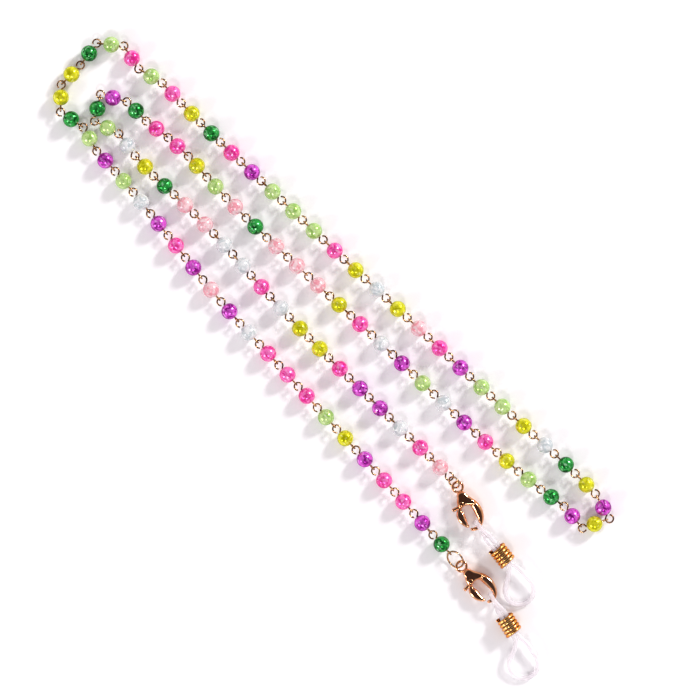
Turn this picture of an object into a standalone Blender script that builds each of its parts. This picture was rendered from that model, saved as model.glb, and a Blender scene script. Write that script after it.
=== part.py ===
"""A beaded chain that holds eyeglasses, lying folded on a table.

Ninety-two round pearls sit on wire links with a loop at each end, and the loops hook into each other.
At each end of the chain a jump ring carries a lobster clasp, and the clasp holds a clear elastic loop
with a wire coil that slides along it. Every length here is in millimetres and every angle in degrees,
and the meshes are written in metres. X runs along the folded strands, Z is up, the table is Z = 0.
"""

import math

import bmesh
import bpy
from mathutils import Matrix, Vector

MM = 0.001

# The links: a pearl on a wire with a loop at each end.
PEARL_RADIUS = 2.05
PITCH = 7.16
FLAT_LOOP_RADIUS = 0.98
UPRIGHT_LOOP_RADIUS = 0.62
WIRE_RADIUS = 0.19
# between the centres of two loops that hook into each other
LOOP_SHIFT = 1.14
NECK = (PITCH - LOOP_SHIFT - UPRIGHT_LOOP_RADIUS - 2 * PEARL_RADIUS - FLAT_LOOP_RADIUS) / 2
LEVEL = PEARL_RADIUS
PEARL_BORE_RADIUS = 0.38
LINKS = 92

# The way the chain lies: where its first link starts, and the headings of some of its links.
# Between these the heading changes evenly from link to link.
CHAIN_START = (59.50, -13.76)
HEADINGS = (
    (1, 177.5), (3, 176.5), (5, 178.0), (8, 177.0), (11, 178.0), (14, 173.0), (17, 174.0),
    (19, 177.5), (20, 164.5), (21, 191.0), (22, 133.5), (23, 90.5), (24, 98.5), (25, 39.0),
    (26, -12.0), (27, 14.0), (28, -1.5), (31, 1.5), (35, 1.5), (38, 2.5), (41, 1.5), (44, 2.5),
    (46, 3.0), (48, 0.0), (49, -15.5), (50, -115.5), (51, -185.0), (52, -171.0), (54, -176.5),
    (58, -179.0), (62, -177.5), (66, -178.5), (69, -183.5), (71, -172.0), (72, -180.0),
    (73, -150.5), (74, -57.5), (75, 17.5), (76, -8.5), (78, 3.0), (82, -4.0), (87, 0.5), (92, 0.5),
)  # fmt: skip
# How far each link is pushed into the loop before it, given in the same way.
SLACK = (
    (1, 0.0), (12, 0.0), (19, 0.32), (27, 0.32), (35, 0.0), (66, 0.0), (71, 0.32), (76, 0.32),
    (84, 0.07), (92, 0.13),
)  # fmt: skip

# The pearls' colours, one letter each, from the first link to the last.
PEARL_COLOURS = (
    "gpkkpylkkkwprpkpwlplg" "yyglklkygk" "plllkywyrk" "pllywgypyp" "glykpwlpwk" "yrrrgrlykk"
    "gpglwygrrw" "wkwyykppwkr"
)
PEARL_PAINT = {
    "g": ("green", (0.010, 0.195, 0.035)),
    "p": ("purple", (0.330, 0.014, 0.440)),
    "k": ("pink", (0.870, 0.030, 0.260)),
    "y": ("lime", (0.550, 0.600, 0.010)),
    "l": ("mint", (0.300, 0.660, 0.090)),
    "w": ("white", (0.720, 0.830, 0.830)),
    "r": ("rose", (0.940, 0.460, 0.470)),
}
WIRE_PAINT = (0.58, 0.31, 0.15)
CLASP_PAINT = (0.76, 0.35, 0.15)
COIL_PAINT = (0.66, 0.27, 0.05)
CLEAR_PAINT = (0.93, 0.90, 0.92)

# The rigid runs of links, as (first link, last link). The one that holds the outer fold comes first.
ROOT_RUN = (48, 53)
RUNS_TO_END_A = (
    (45, 47), (42, 44), (39, 41), (36, 38), (33, 35), (30, 32), (27, 29), (21, 26),
    (18, 20), (15, 17), (12, 14), (9, 11), (6, 8), (3, 5),
)  # fmt: skip
RUNS_TO_END_B = (
    (54, 56), (57, 59), (60, 62), (63, 65), (66, 68), (69, 71), (72, 75),
    (76, 78), (79, 81), (82, 84), (85, 87), (88, 90),
)  # fmt: skip
LINKS_AT_END_A = (2, 1)
LINKS_AT_END_B = (91, 92)

# How finely the round shapes are cut.
RUN_PEARL_SIDES = 8
RUN_PEARL_LATITUDES = (-48, 0, 48)
LONE_PEARL_SIDES = 12
LONE_PEARL_LATITUDES = (-60, -20, 20, 60)
LOOP_STEPS = 7
LONE_LOOP_STEPS = 9
LOOP_OPENING = (40, 330)
BAR_RADIUS = 0.36
RING_HOLD = 0.38

# The jump rings, which stand half upright so that they pass through both of their neighbours.
RING_RADIUS = {"a": 2.30, "b": 1.50}
RING_WIRE_RADIUS = 0.22
RING_TILT = 45
RING_HEADING = {"a": -3.5, "b": -8.0}

# The lobster clasps, in their own frame: the eye is at the origin and the hook lies along +X.
CLASP_HEADING = {"a": -2.0, "b": -21.0}
EYE_HOLE_RADIUS = 0.95
EYE_OUTER_RADIUS = 1.60
EYE_HALF_THICKNESS = 0.42
BLOCK_HEIGHT = 3.30
BLOCK_OUTLINE = (
    (1.20, -0.75), (2.60, -1.25), (3.80, -1.80), (5.20, -1.80), (5.00, -0.30), (5.30, 1.20),
    (5.60, 2.45), (4.40, 2.30), (3.00, 1.50), (1.20, 0.75),
)  # fmt: skip
BLOCK_CHAMFER = 0.30
SLOT_FROM_X = 3.20
SLOT_TO_Y = 0.25
SLOT_Z = (1.00, 2.40)
PIVOT = (4.30, -0.90)
HUB_RADIUS = 0.85
HUB_GAP = 0.12
PIVOT_BORE_RADIUS = 0.46
RIVET_RADIUS = 0.38
RIVET_Z = (0.10, 3.20)
# Each arm is a row of sections: x, y, height of the centre, half width, half height.
HOOK_ARM = (
    (3.90, 0.90, 1.70, 0.85, 1.40), (5.20, 1.85, 1.75, 0.90, 1.32), (6.60, 2.22, 1.85, 1.04, 1.20),
    (8.20, 2.28, 1.95, 1.02, 1.04), (9.70, 2.02, 2.05, 0.72, 0.84), (10.75, 1.45, 2.10, 0.47, 0.68),
    (11.25, 0.60, 2.10, 0.46, 0.62), (11.30, -0.45, 2.10, 0.44, 0.62), (10.95, -1.30, 2.10, 0.38, 0.58),
)  # fmt: skip
GATE_ARM = (
    (4.30, -0.95, 1.70, 0.45, 0.56), (5.50, -1.92, 1.75, 0.55, 0.60), (6.60, -2.22, 1.85, 1.02, 0.74),
    (8.20, -2.22, 1.95, 0.96, 0.82), (9.50, -1.88, 2.05, 0.54, 0.74), (10.20, -1.45, 2.10, 0.34, 0.60),
)  # fmt: skip
THUMB_TAB = (
    (4.50, -1.30, 1.70, 0.42, 0.54), (4.80, -2.60, 1.70, 0.40, 0.54), (4.90, -3.60, 1.70, 0.46, 0.50),
)  # fmt: skip

# The elastic loops, in their own frame: the clasp's bar is at the origin and the coil lies along +X.
BAR_PLACE = {"a": (11.27, 0.25), "b": (11.14, 0.92)}
BAR_LEVEL = 2.10
GRIP_HEADING = {"a": -13.0, "b": -6.5}
GRIP_BEND = {"a": -25.0, "b": -24.0}
CORD_RADIUS = 0.60
WRAP_RADIUS = 0.62 + 0.14 + CORD_RADIUS
CORD_SPREAD = 0.65
LEVEL_OFF_X = 0.75
STRAIGHT_FROM_X = 4.0
STRAIGHT_TO_X = {"a": 11.8, "b": 12.6}
NOOSE_LENGTH = 10.2
NOOSE_RADIUS = 3.60
NOOSE_DROOP = 1.30
CORD_SIDES = 6
COIL_CENTRE_X = {"a": 7.60, "b": 9.20}
COIL_TURNS = 5
COIL_TURN_PITCH = 0.92
COIL_RADIUS = 1.95
COIL_WIRE_RADIUS = 0.33
COIL_RISE = 0.25
COIL_FIRST_TURN = 180
COIL_STEPS_PER_TURN = 10

UP = Vector((0, 0, 1))
placed = {}


def clear_scene():
    for old in list(bpy.data.objects):
        bpy.data.objects.remove(old, do_unlink=True)


def heading_vector(degrees):
    return Vector((math.cos(math.radians(degrees)), math.sin(math.radians(degrees)), 0))


def frame_matrix(point, degrees):
    return Matrix.Translation(point) @ Matrix.Rotation(math.radians(degrees), 4, "Z")


def between(keys, link):
    """A link's value from (link, value) keys, between which it changes evenly."""
    later = next(i for i, (key, _) in enumerate(keys) if key >= link)
    key, value = keys[later]
    if key != link:
        key_before, value_before = keys[later - 1]
        value = value_before + (link - key_before) / (key - key_before) * (value - value_before)
    return value


def lay_chain():
    """The joints between the links, from the chain's start to its end, and each link's direction."""
    joints, directions = [Vector((*CHAIN_START, LEVEL))], []
    for link in range(1, LINKS + 1):
        directions.append(heading_vector(between(HEADINGS, link)))
        joints.append(joints[-1] + directions[-1] * (PITCH - between(SLACK, link)))
    return joints, directions


JOINTS, DIRECTIONS = lay_chain()


def direction(link):
    return DIRECTIONS[link - 1]


def upright_loop_centre(link):
    """The centre of a link's upright loop, at its end nearer the chain's start."""
    return JOINTS[link - 1] + direction(link) * (LOOP_SHIFT - between(SLACK, link))


def flat_loop_centre(link):
    """The centre of a link's flat loop, at its end nearer the chain's end."""
    return JOINTS[link]


def pearl_centre(link):
    return upright_loop_centre(link) + direction(link) * (UPRIGHT_LOOP_RADIUS + NECK + PEARL_RADIUS)


def material(name, paint, roughness, metallic, alpha=1.0):
    made = bpy.data.materials.get(name)
    if made is None:
        made = bpy.data.materials.new(name)
        made.use_nodes = True
        shader = made.node_tree.nodes["Principled BSDF"]
        shader.inputs["Base Color"].default_value = (*paint, 1.0)
        shader.inputs["Roughness"].default_value = roughness
        shader.inputs["Metallic"].default_value = metallic
        shader.inputs["Alpha"].default_value = alpha
    return made


def pearl_material(letter):
    name, paint = PEARL_PAINT[letter]
    return material(f"pearl_{name}", paint, 0.22, 0.0)


def place(name, vertices, faces, world, look, parent=None, cutter=False):
    """Makes an object whose vertices are given in the frame of its own world matrix, in millimetres."""
    mesh = bpy.data.meshes.new(name)
    mesh.from_pydata([Vector(v) * MM for v in vertices], [], faces)
    skinned = bmesh.new()
    skinned.from_mesh(mesh)
    bmesh.ops.recalc_face_normals(skinned, faces=skinned.faces)
    skinned.to_mesh(mesh)
    skinned.free()
    mesh.shade_smooth()
    mesh.set_sharp_from_angle(angle=math.radians(50))
    made = bpy.data.objects.new(name, mesh)
    bpy.context.scene.collection.objects.link(made)
    in_metres = Matrix.Translation(world.translation * MM) @ world.to_3x3().to_4x4()
    if parent is not None:
        made.parent = parent
        made.matrix_local = placed[parent.name].inverted() @ in_metres
    else:
        made.matrix_local = in_metres
    placed[name] = in_metres
    if cutter:
        made.hide_render = True
        made.display_type = "WIRE"
    else:
        mesh.materials.append(look)
    return made


def boolean(target, tool, operation):
    step = target.modifiers.new(tool.name, "BOOLEAN")
    step.operation = operation
    step.object = tool
    step.solver = "EXACT"


def in_frame(points, world):
    """Points of the world, in millimetres, in the frame of a world matrix."""
    back = world.inverted()
    return [back @ p for p in points]


def section(centre, across, above, half_width, half_height, sides):
    """The corners of one section of a tube or an arm."""
    corners = []
    for k in range(sides):
        turn = 2 * math.pi * (k + 0.5) / sides
        corners.append(
            centre + across * (half_width * math.cos(turn)) + above * (half_height * math.sin(turn))
        )
    return corners


def skin(sections, closed=False):
    """Faces between sections of the same number of corners, or of half or twice as many."""
    vertices = [corner for corners in sections for corner in corners]
    starts = [0]
    for corners in sections:
        starts.append(starts[-1] + len(corners))
    faces = []
    count = len(sections)
    for i in range(count if closed else count - 1):
        j = (i + 1) % count
        a, b, m, n = starts[i], starts[j], len(sections[i]), len(sections[j])
        for k in range(min(m, n)):
            after = (k + 1) % min(m, n)
            if m == n:
                faces.append((a + k, a + after, b + after, b + k))
            elif m == 2 * n:
                faces.append((a + 2 * k, a + 2 * k + 1, b + k))
                faces.append((a + 2 * k + 1, a + (2 * k + 2) % m, b + after, b + k))
            else:
                faces.append((a + k, b + 2 * k + 1, b + 2 * k))
                faces.append((a + k, a + after, b + (2 * k + 2) % n, b + 2 * k + 1))
    if not closed:
        faces.append(tuple(reversed(range(starts[0], starts[1]))))
        faces.append(tuple(range(starts[-2], starts[-1])))
    return vertices, faces


def upright_loop(link, steps, sides, radius):
    """Sections of a link's upright loop, from the wire's cut end to the neck."""
    along = direction(link)
    side = UP.cross(along)
    centre = upright_loop_centre(link)
    sections = []
    for k in range(steps + 1):
        turn = math.radians(LOOP_OPENING[0] + (LOOP_OPENING[1] - LOOP_OPENING[0]) * k / steps)
        outward = along * math.cos(turn) + UP * math.sin(turn)
        tangent = UP * math.cos(turn) - along * math.sin(turn)
        sections.append(
            section(centre + outward * UPRIGHT_LOOP_RADIUS, side, tangent.cross(side), radius, radius, sides)
        )
    return sections


def flat_loop(link, steps, sides, radius):
    """Sections of a link's flat loop, from the neck to the wire's cut end."""
    along = direction(link)
    side = UP.cross(along)
    centre = flat_loop_centre(link)
    sections = []
    for k in range(steps, -1, -1):
        turn = math.radians(LOOP_OPENING[0] + (LOOP_OPENING[1] - LOOP_OPENING[0]) * k / steps)
        outward = side * math.sin(turn) - along * math.cos(turn)
        tangent = -side * math.cos(turn) - along * math.sin(turn)
        sections.append(
            section(centre + outward * FLAT_LOOP_RADIUS, UP.cross(tangent), UP, radius, radius, sides)
        )
    return sections


def on_axis(link, from_pearl, radius, sides):
    """A round section on a link's axis, at a distance from its pearl's centre."""
    along = direction(link)
    centre = pearl_centre(link) + along * from_pearl
    return section(centre, UP.cross(along), UP, radius, radius, sides)


def run_sections(first, last):
    """One solid for a run of links: loops at both ends, its pearls, and bars where inner loops meet."""
    reach = PEARL_RADIUS + NECK
    sections = upright_loop(first, LOOP_STEPS, 4, WIRE_RADIUS)
    sections.append(on_axis(first, -reach + 0.05, WIRE_RADIUS, 4))
    for link in range(first, last + 1):
        pole = PEARL_RADIUS - 0.02
        sections.append(on_axis(link, -pole, WIRE_RADIUS, 4))
        for latitude in RUN_PEARL_LATITUDES:
            up_by, out_by = math.sin(math.radians(latitude)), math.cos(math.radians(latitude))
            sections.append(
                on_axis(link, PEARL_RADIUS * up_by, PEARL_RADIUS * out_by, RUN_PEARL_SIDES)
            )
        sections.append(on_axis(link, pole, WIRE_RADIUS, 4))
        if link < last:
            across = UP.cross(direction(link) + direction(link + 1)).normalized()
            sections.append(section(JOINTS[link], across, UP, BAR_RADIUS, BAR_RADIUS, 4))
    sections.append(on_axis(last, reach - 0.05, WIRE_RADIUS, 4))
    sections.extend(flat_loop(last, LOOP_STEPS, 4, WIRE_RADIUS))
    return sections


def make_run(first, last, hinge, parent):
    world = Matrix.Translation(hinge)
    vertices, faces = skin(run_sections(first, last))
    middle = PEARL_COLOURS[(first + last) // 2 - 1]
    name = f"strand_{first:02d}_{last:02d}"
    return place(name, in_frame(vertices, world), faces, world, pearl_material(middle), parent)


def make_lone_link(link, hinge, parent):
    """An eye pin and the pearl that turns on it, as two pieces."""
    world = Matrix.Translation(hinge)
    reach = PEARL_RADIUS + NECK
    sections = upright_loop(link, LONE_LOOP_STEPS, 6, WIRE_RADIUS)
    sections.append(on_axis(link, -reach + 0.05, WIRE_RADIUS, 6))
    sections.append(on_axis(link, reach - 0.05, WIRE_RADIUS, 6))
    sections.extend(flat_loop(link, LONE_LOOP_STEPS, 6, WIRE_RADIUS))
    vertices, faces = skin(sections)
    wire = material("rose_wire", WIRE_PAINT, 0.22, 1.0)
    pin = place(f"eye_pin_{link:02d}", in_frame(vertices, world), faces, world, wire, parent)

    mouth = math.sqrt(PEARL_RADIUS**2 - PEARL_BORE_RADIUS**2)
    rings = [on_axis(link, -mouth, PEARL_BORE_RADIUS, LONE_PEARL_SIDES)]
    for latitude in LONE_PEARL_LATITUDES:
        up_by, out_by = math.sin(math.radians(latitude)), math.cos(math.radians(latitude))
        rings.append(on_axis(link, PEARL_RADIUS * up_by, PEARL_RADIUS * out_by, LONE_PEARL_SIDES))
    rings.append(on_axis(link, mouth, PEARL_BORE_RADIUS, LONE_PEARL_SIDES))
    vertices, faces = skin(rings, closed=True)
    world = Matrix.Translation(pearl_centre(link))
    look = pearl_material(PEARL_COLOURS[link - 1])
    place(f"pearl_{link:02d}", in_frame(vertices, world), faces, world, look, pin)
    return pin


def make_jump_ring(end, start, parent):
    """A ring whose near side is at start and whose far side is where the clasp's eye goes."""
    world = frame_matrix(start, RING_HEADING[end])
    tilt = math.radians(RING_TILT)
    across = Vector((0, math.cos(tilt), math.sin(tilt)))
    radius = RING_RADIUS[end]
    sections = []
    for k in range(14):
        turn = 2 * math.pi * k / 14
        outward = Vector((math.cos(turn), 0, 0)) + across * math.sin(turn)
        normal = Vector((1, 0, 0)).cross(across)
        centre = Vector((radius, 0, 0)) + outward * radius
        sections.append(section(centre, outward, normal, RING_WIRE_RADIUS, RING_WIRE_RADIUS, 6))
    vertices, faces = skin(sections, closed=True)
    look = material("rose_wire", WIRE_PAINT, 0.22, 1.0)
    ring = place(f"jump_ring_{end}", vertices, faces, world, look, parent)
    return ring, start + heading_vector(RING_HEADING[end]) * 2 * radius


def arm(rows, sides=8):
    """Sections of a curved arm in the XY plane, square to its middle line."""
    places = [Vector(row[:3]) for row in rows]
    sections = []
    for i, row in enumerate(rows):
        before, after = places[max(i - 1, 0)], places[min(i + 1, len(rows) - 1)]
        tangent = (after - before).normalized()
        sections.append(section(places[i], UP.cross(tangent).normalized(), UP, row[3], row[4], sides))
    return sections


def prism(outline, levels):
    """A solid of one outline at several heights, each drawn in towards its middle by an inset."""
    middle = Vector((sum(p[0] for p in outline), sum(p[1] for p in outline))) / len(outline)
    sections = []
    for height, inset in levels:
        corners = []
        for point in outline:
            from_middle = Vector(point) - middle
            at = middle + from_middle * (1 - inset / from_middle.length)
            corners.append(Vector((*at, height)))
        sections.append(corners)
    return sections


def disc(centre, radius, low, high, sides=12):
    return [section(Vector((*centre, z)), Vector((1, 0, 0)), Vector((0, 1, 0)), radius, radius, sides)
            for z in (low, high)]  # fmt: skip


def lower(sections, by):
    return [[corner - UP * by for corner in corners] for corners in sections]


def make_clasp(end, eye, parent):
    """The clasp's body with its eye, slot and hook, the gate that turns in the slot, and the rivet."""
    world = frame_matrix(eye, CLASP_HEADING[end])
    look = material("rose_gold", CLASP_PAINT, 0.16, 1.0)
    levels = ((0, BLOCK_CHAMFER), (0.4, 0), (BLOCK_HEIGHT - 0.4, 0), (BLOCK_HEIGHT, BLOCK_CHAMFER))
    block = skin(lower(prism(BLOCK_OUTLINE, levels), LEVEL))
    body = place(f"clasp_body_{end}", *block, world, look, parent)

    eye_sections = []
    for k in range(16):
        turn = 2 * math.pi * k / 16
        outward = Vector((math.cos(turn), math.sin(turn), 0))
        middle = (EYE_HOLE_RADIUS + EYE_OUTER_RADIUS) / 2
        half_width = (EYE_OUTER_RADIUS - EYE_HOLE_RADIUS) / 2
        eye_sections.append(
            section(outward * middle, outward, UP, half_width, EYE_HALF_THICKNESS, 6)
        )
    parts = {
        "eye": skin(eye_sections, closed=True),
        "hook": skin(lower(arm(HOOK_ARM), LEVEL)),
    }
    for part, (vertices, faces) in parts.items():
        boolean(body, place(f"{part}_{end}", vertices, faces, world, None, body, True), "UNION")
    slot_outline = ((SLOT_FROM_X, -3.0), (6.5, -3.0), (6.5, SLOT_TO_Y), (SLOT_FROM_X, SLOT_TO_Y))
    cuts = {
        "slot": prism(slot_outline, ((SLOT_Z[0], 0), (SLOT_Z[1], 0))),
        "pivot_bore": disc(PIVOT, PIVOT_BORE_RADIUS, -1, BLOCK_HEIGHT + 1),
    }
    for part, sections in cuts.items():
        vertices, faces = skin(lower(sections, LEVEL))
        cutter = place(f"{part}_{end}", vertices, faces, world, None, body, True)
        boolean(body, cutter, "DIFFERENCE")

    pivot = world @ Vector((*PIVOT, 0))
    gate_world = frame_matrix(pivot, CLASP_HEADING[end])

    def about_pivot(sections):
        shift = Vector((*PIVOT, LEVEL))
        return [[corner - shift for corner in corners] for corners in sections]

    hub = disc(PIVOT, HUB_RADIUS, SLOT_Z[0] + HUB_GAP, SLOT_Z[1] - HUB_GAP)
    gate = place(f"clasp_gate_{end}", *skin(about_pivot(hub)), gate_world, look, body)
    for part, sections in {"gate_arm": arm(GATE_ARM), "thumb_tab": arm(THUMB_TAB)}.items():
        vertices, faces = skin(about_pivot(sections))
        boolean(gate, place(f"{part}_{end}", vertices, faces, gate_world, None, gate, True), "UNION")
    bore = skin(about_pivot(disc(PIVOT, PIVOT_BORE_RADIUS, -1, BLOCK_HEIGHT + 1)))
    cutter = place(f"gate_bore_{end}", *bore, gate_world, None, gate, True)
    boolean(gate, cutter, "DIFFERENCE")

    rivet = skin(about_pivot(disc(PIVOT, RIVET_RADIUS, *RIVET_Z)))
    place(f"clasp_rivet_{end}", *rivet, gate_world, look, body)
    return body, world


def bend(point, degrees, start):
    """Turns the far part of the loop sideways, over a short stretch just past the coil."""
    stretch = 3.0
    beyond = point.x - start
    if beyond <= 0:
        return point
    total = math.radians(degrees)
    turned = total * min(beyond / stretch, 1)
    radius = stretch / total
    middle = Vector((start + radius * math.sin(turned), radius * (1 - math.cos(turned)), point.z))
    rest = max(beyond - stretch, 0)
    middle += Vector((math.cos(turned), math.sin(turned), 0)) * rest
    return middle + Vector((-math.sin(turned), math.cos(turned), 0)) * point.y


def half_cord(straight_to):
    """The middle line of one cord, from the clasp's bar over the top and out to the noose's tip."""
    points = []
    for k in range(4):
        turn = math.radians(180 - 90 * k / 3)
        points.append(Vector((WRAP_RADIUS * math.cos(turn), 0, WRAP_RADIUS * math.sin(turn))))
    for k in range(6):
        share = k / 5
        ease = share * share * (3 - 2 * share)
        x = LEVEL_OFF_X + (STRAIGHT_FROM_X - LEVEL_OFF_X) * share
        points.append(Vector((x, CORD_SPREAD * ease, WRAP_RADIUS * (1 - ease))))
    points.append(Vector((straight_to, CORD_SPREAD, 0)))
    centre_x = NOOSE_LENGTH - NOOSE_RADIUS
    slope = math.asin((NOOSE_RADIUS - CORD_SPREAD) / centre_x)
    touch = Vector((-math.sin(slope), math.cos(slope), 0)) * NOOSE_RADIUS
    noose = [
        Vector((0, CORD_SPREAD, 0)).lerp(touch + Vector((centre_x, 0, 0)), k / 4) for k in (1, 2, 3)
    ]
    for k in range(7):
        turn = (math.pi / 2 + slope) * (1 - k / 6)
        noose.append(
            Vector((centre_x + NOOSE_RADIUS * math.cos(turn), NOOSE_RADIUS * math.sin(turn), 0))
        )
    for point in noose:
        droop = NOOSE_DROOP * (point.x / NOOSE_LENGTH) ** 2
        points.append(point + Vector((straight_to, 0, -droop)))
    return points


def make_grip(end, clasp_world, parent):
    """The elastic loop, hooked round the clasp's bar, and the coil round both of its cords."""
    bar = clasp_world @ Vector((*BAR_PLACE[end], BAR_LEVEL - LEVEL))
    world = frame_matrix(bar, GRIP_HEADING[end])
    straight_to = STRAIGHT_TO_X[end]
    over = half_cord(straight_to)
    under = [Vector((p.x, -p.y, -p.z if p.x < STRAIGHT_FROM_X else p.z)) for p in over]
    path = [bend(p, GRIP_BEND[end], straight_to) for p in over + under[-2:0:-1]]
    sections = []
    side = Vector((0, 1, 0))
    for i, point in enumerate(path):
        tangent = (path[(i + 1) % len(path)] - path[i - 1]).normalized()
        side = (side - tangent * side.dot(tangent)).normalized()
        sections.append(
            section(point, side, tangent.cross(side), CORD_RADIUS, CORD_RADIUS, CORD_SIDES)
        )
    vertices, faces = skin(sections, closed=True)
    clear = material("clear_elastic", CLEAR_PAINT, 0.10, 0.0, 0.45)
    grip = place(f"grip_loop_{end}", vertices, faces, world, clear, parent)

    steps = COIL_TURNS * COIL_STEPS_PER_TURN
    half_length = COIL_TURNS * COIL_TURN_PITCH / 2
    helix = []
    for k in range(steps + 1):
        turn = math.radians(COIL_FIRST_TURN) + 2 * math.pi * k / COIL_STEPS_PER_TURN
        outward = Vector((0, math.cos(turn), math.sin(turn)))
        tangent = Vector((0, -math.sin(turn), math.cos(turn))) * 2 * math.pi * COIL_RADIUS
        tangent = (tangent + Vector((COIL_TURN_PITCH, 0, 0))).normalized()
        centre = outward * COIL_RADIUS
        centre += Vector((2 * half_length * k / steps - half_length, 0, COIL_RISE))
        across = tangent.cross(outward)
        helix.append(section(centre, across, outward, COIL_WIRE_RADIUS, COIL_WIRE_RADIUS, 4))
    coil_world = world @ Matrix.Translation((COIL_CENTRE_X[end], 0, 0))
    gold = material("coil_gold", COIL_PAINT, 0.25, 1.0)
    place(f"grip_coil_{end}", *skin(helix), coil_world, gold, grip)


def hinge_of(link_before):
    """Where a link hooks into the next: the far side of its flat loop, inside the upright loop."""
    return JOINTS[link_before] + direction(link_before + 1) * FLAT_LOOP_RADIUS


def make_end(end, start, parent):
    ring, eye = make_jump_ring(end, start, parent)
    body, world = make_clasp(end, eye, ring)
    make_grip(end, world, body)


def main():
    clear_scene()
    root_place = (JOINTS[ROOT_RUN[0] - 1] + JOINTS[ROOT_RUN[1]]) / 2
    root = make_run(*ROOT_RUN, root_place, None)
    held = root
    for first, last in RUNS_TO_END_A:
        held = make_run(first, last, hinge_of(last), held)
    for link in LINKS_AT_END_A:
        held = make_lone_link(link, hinge_of(link), held)
    make_end("a", upright_loop_centre(1), held)
    held = root
    for first, last in RUNS_TO_END_B:
        held = make_run(first, last, hinge_of(first - 1), held)
    for link in LINKS_AT_END_B:
        held = make_lone_link(link, hinge_of(link - 1), held)
    make_end("b", flat_loop_centre(LINKS) + direction(LINKS) * RING_HOLD, held)


main()
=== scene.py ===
"""The looks of a beaded eyeglass chain: every pearl, wire, clasp and elastic loop as its own piece.

Shapes are worked out in millimetres, each in a frame of its own, and their meshes are then scaled to
metres. X runs along the folded strands, Z is up, and the table is Z = 0, as in the CAD.
"""

import math
import random

import bmesh
import bpy
import numpy as np
from mathutils import Matrix, Vector


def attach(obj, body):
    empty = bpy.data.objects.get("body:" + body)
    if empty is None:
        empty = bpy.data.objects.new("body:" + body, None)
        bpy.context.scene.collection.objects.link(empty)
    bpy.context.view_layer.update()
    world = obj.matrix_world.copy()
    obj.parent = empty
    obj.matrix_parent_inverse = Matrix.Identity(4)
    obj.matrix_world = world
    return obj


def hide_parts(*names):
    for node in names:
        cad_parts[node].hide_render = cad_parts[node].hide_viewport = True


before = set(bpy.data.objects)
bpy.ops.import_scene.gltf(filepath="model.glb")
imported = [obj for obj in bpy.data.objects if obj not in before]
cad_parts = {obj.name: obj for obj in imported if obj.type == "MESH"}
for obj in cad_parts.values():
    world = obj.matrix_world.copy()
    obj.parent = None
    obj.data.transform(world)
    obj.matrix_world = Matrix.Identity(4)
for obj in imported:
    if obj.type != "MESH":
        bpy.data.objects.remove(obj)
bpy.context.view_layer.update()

MM = 0.001
UP = Vector((0, 0, 1))

# The chain as the CAD lays it, with a slightly thicker wire: link sizes, the start, and the
# headings of some links, between which the heading changes evenly.
PEARL_RADIUS = 2.05
PITCH = 7.16
FLAT_LOOP_RADIUS = 0.98
UPRIGHT_LOOP_RADIUS = 0.62
WIRE_RADIUS = 0.205
# between the centres of two loops that hook into each other
LOOP_SHIFT = 1.14
LEVEL = PEARL_RADIUS
LINKS = 92
CHAIN_START = (59.50, -13.76)
HEADINGS = (
    (1, 177.5), (3, 176.5), (5, 178.0), (8, 177.0), (11, 178.0), (14, 173.0), (17, 174.0),
    (19, 177.5), (20, 164.5), (21, 191.0), (22, 133.5), (23, 90.5), (24, 98.5), (25, 39.0),
    (26, -12.0), (27, 14.0), (28, -1.5), (31, 1.5), (35, 1.5), (38, 2.5), (41, 1.5), (44, 2.5),
    (46, 3.0), (48, 0.0), (49, -15.5), (50, -115.5), (51, -185.0), (52, -171.0), (54, -176.5),
    (58, -179.0), (62, -177.5), (66, -178.5), (69, -183.5), (71, -172.0), (72, -180.0),
    (73, -150.5), (74, -57.5), (75, 17.5), (76, -8.5), (78, 3.0), (82, -4.0), (87, 0.5), (92, 0.5),
)  # fmt: skip
# How far each link is pushed into the loop before it, given in the same way.
SLACK = (
    (1, 0.0), (12, 0.0), (19, 0.32), (27, 0.32), (35, 0.0), (66, 0.0), (71, 0.32), (76, 0.32),
    (84, 0.07), (92, 0.13),
)  # fmt: skip
# One letter for each pearl, from the first link to the last.
PEARL_COLOURS = (
    "gpkkpylkkkwprpkpwlplg" "yyglklkygk" "plllkywyrk" "pllywgypyp" "glykpwlpwk" "yrrrgrlykk"
    "gpglwygrrw" "wkwyykppwkr"
)
RING_HOLD = 0.38

# A pearl's shape. Its radius varies by a share, and its lip is a row of (share of radius, radius).
PEARL_ROUNDNESS = (0.985, 1.0)
PEARL_SIDES = 44
PEARL_LATITUDES = 30
PEARL_MOUTH_RADIUS = 0.47
PEARL_LIP = ((0.90, 0.335), (0.957, 0.350), (0.972, 0.40))

# A wire's loop: the angles in degrees where it is cut and where it leaves for the pearl, how far it
# is tilted at most, how deep in the pearl its curve ends, and how strongly it is drawn at both ends.
LOOP_CUT = (34, 46)
LOOP_LEAVE = 322
LOOP_TILT = 9
LOOP_STEPS = 26
LEAD_DEPTH = 0.12
LEAD_STEPS = 5
LEAVE_PULL = 0.80
ENTER_PULL = 0.45
WIRE_MIDDLE_X = 1.4
WIRE_SIDES = 12

# The jump rings, clasps and elastic loops, each in its own frame, placed as in the CAD. Their shapes
# are finer than the CAD's, and the coil's wire is thicker.
RING_RADIUS = {"a": 2.30, "b": 1.50}
RING_WIRE_RADIUS = 0.22
RING_TILT = 45
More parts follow.
